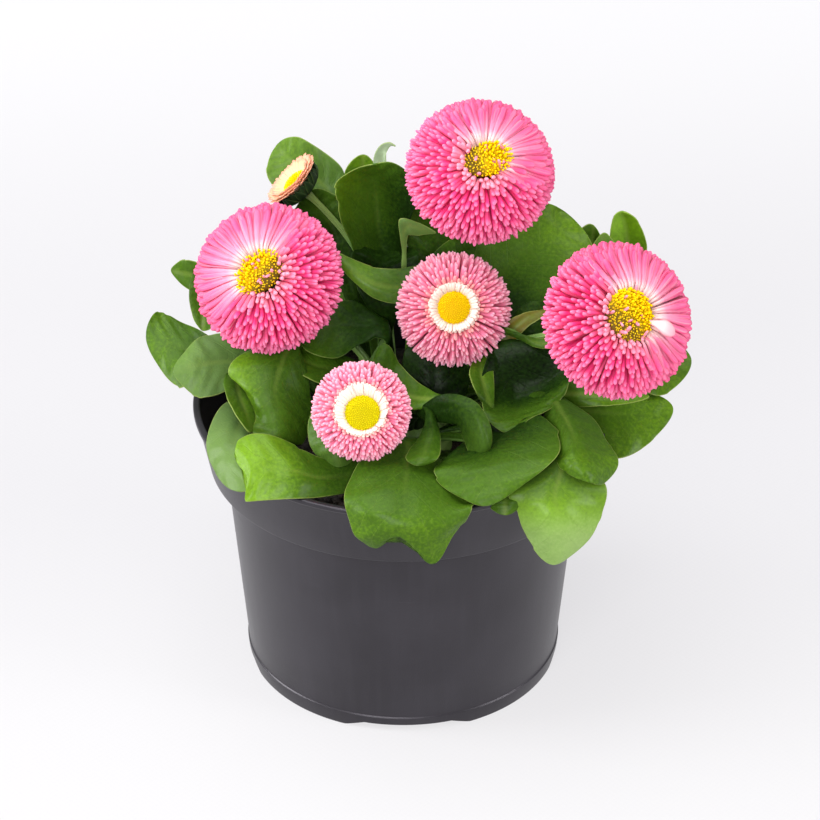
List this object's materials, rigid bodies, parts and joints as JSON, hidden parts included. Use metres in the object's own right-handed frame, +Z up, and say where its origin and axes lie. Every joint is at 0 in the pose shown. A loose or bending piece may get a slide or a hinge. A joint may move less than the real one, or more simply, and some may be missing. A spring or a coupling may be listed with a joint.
{
  "type": "potted english daisy",
  "caption": "Flowering daisy with pompon heads and a rosette of rounded leaves, growing in a round nursery pot.",
  "frame": {"origin": "centre of the standing plane, under the middle of the pot", "axes": "+Z up along the pot's axis; the side shown in the picture faces -Y; +X to the right of it"},
  "size_m": [0.1351, 0.1176, 0.1481],
  "materials": {
    "pot_plastic": "satin",
    "soil": "matte",
    "leaf_green": "satin",
    "stem_green": "satin",
    "involucre_green": "satin",
    "ray_pink": "matte",
    "bud_pink": "matte",
    "disc_yellow": "matte"
  },
  "bodies": {
    "root": {"pot": "pot_plastic", "potting_soil": "soil", "crown": "stem_green", "leaf_01": "leaf_green", "leaf_02": "leaf_green", "leaf_03": "leaf_green", "leaf_04": "leaf_green", "leaf_05": "leaf_green", "leaf_06": "leaf_green", "leaf_07": "leaf_green", "leaf_08": "leaf_green", "leaf_09": "leaf_green", "leaf_10": "leaf_green", "leaf_11": "leaf_green", "leaf_12": "leaf_green", "leaf_13": "leaf_green", "leaf_14": "leaf_green", "leaf_15": "leaf_green", "leaf_16": "leaf_green", "leaf_17": "leaf_green", "leaf_18": "leaf_green", "leaf_19": "leaf_green", "leaf_20": "leaf_green", "leaf_21": "leaf_green", "leaf_22": "leaf_green", "leaf_23": "leaf_green", "leaf_24": "leaf_green", "leaf_25": "leaf_green", "leaf_26": "leaf_green", "leaf_27": "leaf_green", "leaf_28": "leaf_green", "leaf_29": "leaf_green", "leaf_30": "leaf_green", "leaf_31": "leaf_green", "leaf_32": "leaf_green", "leaf_33": "leaf_green", "flower_top_stem": "stem_green", "flower_top_involucre": "involucre_green", "flower_top_ray_florets": "ray_pink", "flower_top_disc_florets": "disc_yellow", "flower_left_stem": "stem_green", "flower_left_involucre": "involucre_green", "flower_left_ray_florets": "ray_pink", "flower_left_disc_florets": "disc_yellow", "flower_right_stem": "stem_green", "flower_right_involucre": "involucre_green", "flower_right_ray_florets": "ray_pink", "flower_right_disc_florets": "disc_yellow", "flower_middle_stem": "stem_green", "flower_middle_involucre": "involucre_green", "flower_middle_ray_florets": "ray_pink", "flower_middle_disc_florets": "disc_yellow", "flower_front_stem": "stem_green", "flower_front_involucre": "involucre_green", "flower_front_ray_florets": "ray_pink", "flower_front_disc_florets": "disc_yellow", "flower_bud_stem": "stem_green", "flower_bud_involucre": "involucre_green", "flower_bud_ray_florets": "bud_pink", "flower_bud_disc_florets": "disc_yellow"}
  },
  "joints": []
}
